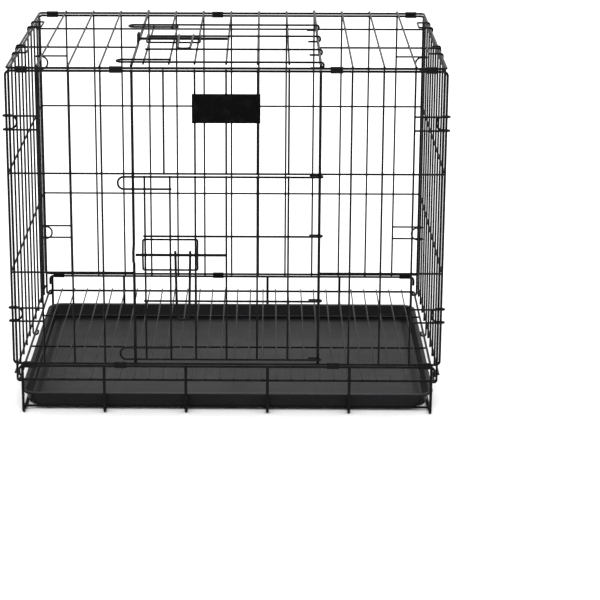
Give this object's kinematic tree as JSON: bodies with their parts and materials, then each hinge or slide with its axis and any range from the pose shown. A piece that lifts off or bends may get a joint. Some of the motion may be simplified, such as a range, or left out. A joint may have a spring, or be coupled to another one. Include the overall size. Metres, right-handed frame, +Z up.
{
  "type": "wire dog crate",
  "caption": "Folding wire dog crate with a front door, a roof door, slide-bolt latches, fold-down ends and a slide-out tray.",
  "frame": {"origin": "bottom centre of the crate, on the ground", "axes": "+X along the length, -Y out of the long side with the front door, +Z up"},
  "size_m": [0.6194, 0.4407, 0.5242],
  "materials": {
    "coated_wire": "satin",
    "tray_plastic": "satin",
    "plate_plastic": "matte"
  },
  "bodies": {
    "base": {"base_frame": "coated_wire", "floor_grid": "coated_wire", "front_panel": "coated_wire", "back_panel": "coated_wire", "top_panel": "coated_wire", "front_bottom_clips": "coated_wire", "back_bottom_clips": "coated_wire", "front_top_clips": "coated_wire", "back_top_clips": "coated_wire", "front_left_corner_hooks": "coated_wire", "front_right_corner_hooks": "coated_wire", "back_left_corner_hooks": "coated_wire", "back_right_corner_hooks": "coated_wire", "left_roof_hooks": "coated_wire", "right_roof_hooks": "coated_wire", "name_plate": "plate_plastic"},
    "front_door": {"front_door": "coated_wire", "front_door_curls": "coated_wire", "front_latch_guide": "coated_wire"},
    "front_bolt": {"front_latch_bolt": "coated_wire"},
    "front_handle": {"front_latch_handle": "coated_wire"},
    "top_door": {"top_door": "coated_wire", "top_door_curls": "coated_wire", "top_latch_guide": "coated_wire"},
    "top_bolt": {"top_latch_bolt": "coated_wire"},
    "top_handle": {"top_latch_handle": "coated_wire"},
    "left_end": {"left_end_panel": "coated_wire"},
    "right_end": {"right_end_panel": "coated_wire"},
    "tray": {"tray": "tray_plastic"}
  },
  "joints": [
    {"name": "front_door_swing", "type": "hinge", "parent": "base", "child": "front_door", "pos_m": [0.12999, -0.21, 0.2], "axis": [0, 0, 1], "range_deg": [0, 150]},
    {"name": "top_door_swing", "type": "hinge", "parent": "base", "child": "top_door", "pos_m": [0.12999, -0.07, 0.5096], "axis": [0, 1, 0], "range_deg": [0, 150]},
    {"name": "front_bolt_slide", "type": "slide", "parent": "front_door", "child": "front_bolt", "axis": [-1, 0, 0], "range_m": [-0.006, 0.034]},
    {"name": "top_bolt_slide", "type": "slide", "parent": "top_door", "child": "top_bolt", "axis": [-1, 0, 0], "range_m": [-0.006, 0.034]},
    {"name": "front_handle_turn", "type": "hinge", "parent": "front_bolt", "child": "front_handle", "pos_m": [-0.06099, -0.2151, 0.23958], "axis": [-1, 0, 0], "range_deg": [0, 150]},
    {"name": "top_handle_turn", "type": "hinge", "parent": "top_bolt", "child": "top_handle", "pos_m": [-0.06099, -0.04256, 0.5147], "axis": [-1, 0, 0], "range_deg": [0, 150]},
    {"name": "left_end_fold", "type": "hinge", "parent": "base", "child": "left_end", "pos_m": [-0.2968, 0, 0.05], "axis": [0, 1, 0], "range_deg": [0, 85]},
    {"name": "right_end_fold", "type": "hinge", "parent": "base", "child": "right_end", "pos_m": [0.2968, 0, 0.05], "axis": [0, -1, 0], "range_deg": [0, 72]},
    {"name": "tray_slide", "type": "slide", "parent": "base", "child": "tray", "axis": [-1, 0, 0], "range_m": [0, 0.56]}
  ]
}
